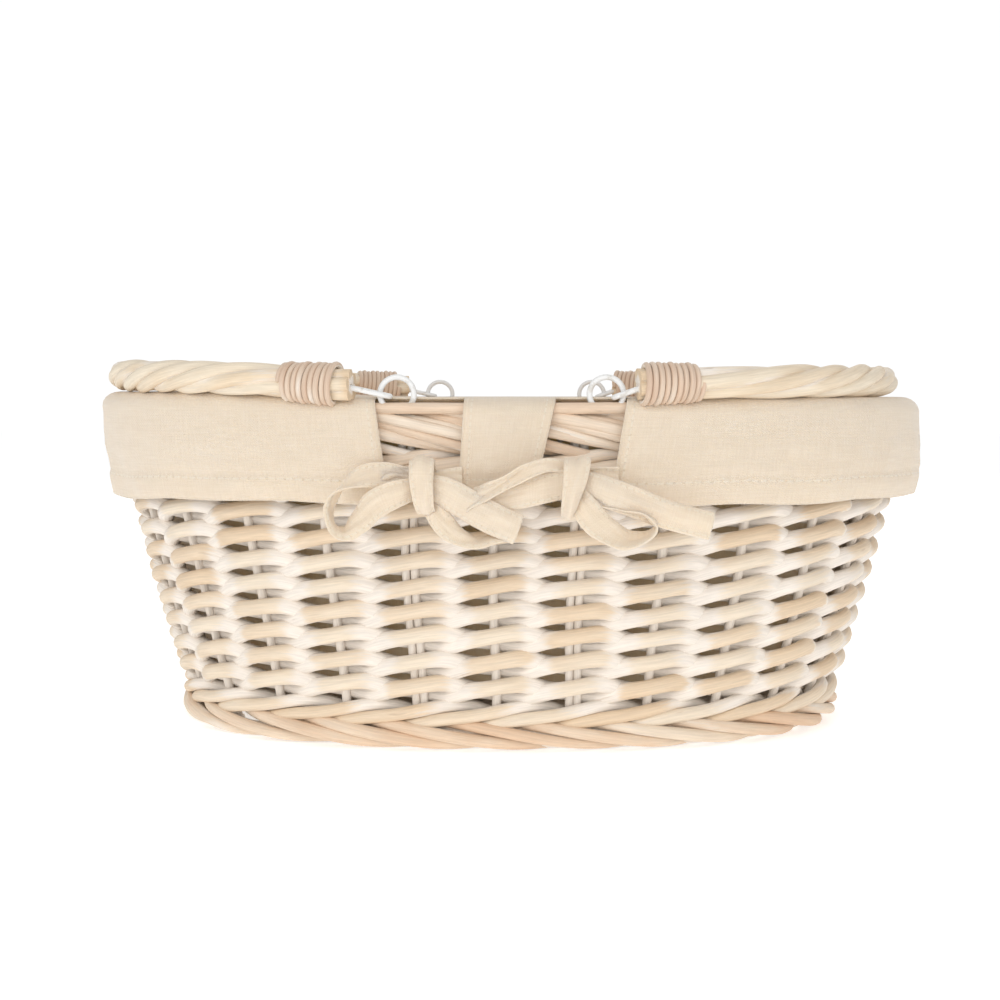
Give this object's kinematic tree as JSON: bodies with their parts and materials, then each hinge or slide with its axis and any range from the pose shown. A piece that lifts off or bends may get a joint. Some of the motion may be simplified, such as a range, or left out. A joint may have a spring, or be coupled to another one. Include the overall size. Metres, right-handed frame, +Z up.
{
  "type": "bread basket",
  "caption": "Oval woven willow basket with a tied cotton liner folded over the rim and swing handles that fold out onto it.",
  "frame": {"origin": "middle of the foot, on the surface that the basket stands on", "axes": "+X along the basket's length, +Y to its back, +Z up"},
  "size_m": [0.4228, 0.3516, 0.1848],
  "materials": {
    "willow": "whitewashed, dry and slightly fibrous",
    "peeled_willow": "whitewashed, matte",
    "cotton": "plain calico, matte",
    "split_cane": "satin, thinly whitewashed",
    "painted_wire": "semi-gloss white"
  },
  "bodies": {
    "basket": {"foot_border": "willow", "base_weave": "willow", "base_long_stick_1": "peeled_willow", "base_long_stick_2": "peeled_willow", "base_long_stick_3": "peeled_willow", "base_cross_stick_1": "peeled_willow", "base_cross_stick_2": "peeled_willow", "base_cross_stick_3": "peeled_willow", "stake_01": "peeled_willow", "stake_02": "peeled_willow", "stake_03": "peeled_willow", "stake_04": "peeled_willow", "stake_05": "peeled_willow", "stake_06": "peeled_willow", "stake_07": "peeled_willow", "stake_08": "peeled_willow", "stake_09": "peeled_willow", "stake_10": "peeled_willow", "stake_11": "peeled_willow", "stake_12": "peeled_willow", "stake_13": "peeled_willow", "stake_14": "peeled_willow", "stake_15": "peeled_willow", "stake_16": "peeled_willow", "stake_17": "peeled_willow", "stake_18": "peeled_willow", "stake_19": "peeled_willow", "stake_20": "peeled_willow", "stake_21": "peeled_willow", "stake_22": "peeled_willow", "stake_23": "peeled_willow", "stake_24": "peeled_willow", "stake_25": "peeled_willow", "stake_26": "peeled_willow", "lower_wale": "willow", "side_weave": "willow", "rim_border": "willow", "liner_bag": "cotton", "liner_left_flap": "cotton", "liner_right_flap": "cotton", "liner_front_tab": "cotton", "liner_back_tab": "cotton", "front_left_bow": "cotton", "front_right_bow": "cotton", "back_left_bow": "cotton", "back_right_bow": "cotton"},
    "left_handle": {"left_handle_hoop": "willow", "left_handle_front_binding": "split_cane", "left_handle_front_eye": "painted_wire", "left_handle_back_binding": "split_cane", "left_handle_back_eye": "painted_wire"},
    "right_handle": {"right_handle_hoop": "willow", "right_handle_front_binding": "split_cane", "right_handle_front_eye": "painted_wire", "right_handle_back_binding": "split_cane", "right_handle_back_eye": "painted_wire"},
    "front_left_ring": {"front_left_ring": "painted_wire"},
    "front_right_ring": {"front_right_ring": "painted_wire"},
    "back_left_ring": {"back_left_ring": "painted_wire"},
    "back_right_ring": {"back_right_ring": "painted_wire"}
  },
  "joints": [
    {"name": "left_handle_swing", "type": "hinge", "parent": "basket", "child": "left_handle", "pos_m": [-0.0467, 0, 0.168], "axis": [0, 1, 0], "range_deg": [0, 101]},
    {"name": "right_handle_swing", "type": "hinge", "parent": "basket", "child": "right_handle", "pos_m": [0.0467, 0, 0.168], "axis": [0, -1, 0], "range_deg": [0, 101]},
    {"name": "front_left_ring_turn", "type": "hinge", "parent": "basket", "child": "front_left_ring", "pos_m": [-0.0467, -0.16131, 0.168], "axis": [0, 1, 0], "continuous": true},
    {"name": "front_right_ring_turn", "type": "hinge", "parent": "basket", "child": "front_right_ring", "pos_m": [0.0467, -0.16131, 0.168], "axis": [0, 1, 0], "continuous": true},
    {"name": "back_left_ring_turn", "type": "hinge", "parent": "basket", "child": "back_left_ring", "pos_m": [-0.0467, 0.16131, 0.168], "axis": [0, 1, 0], "continuous": true},
    {"name": "back_right_ring_turn", "type": "hinge", "parent": "basket", "child": "back_right_ring", "pos_m": [0.0467, 0.16131, 0.168], "axis": [0, 1, 0], "continuous": true}
  ]
}
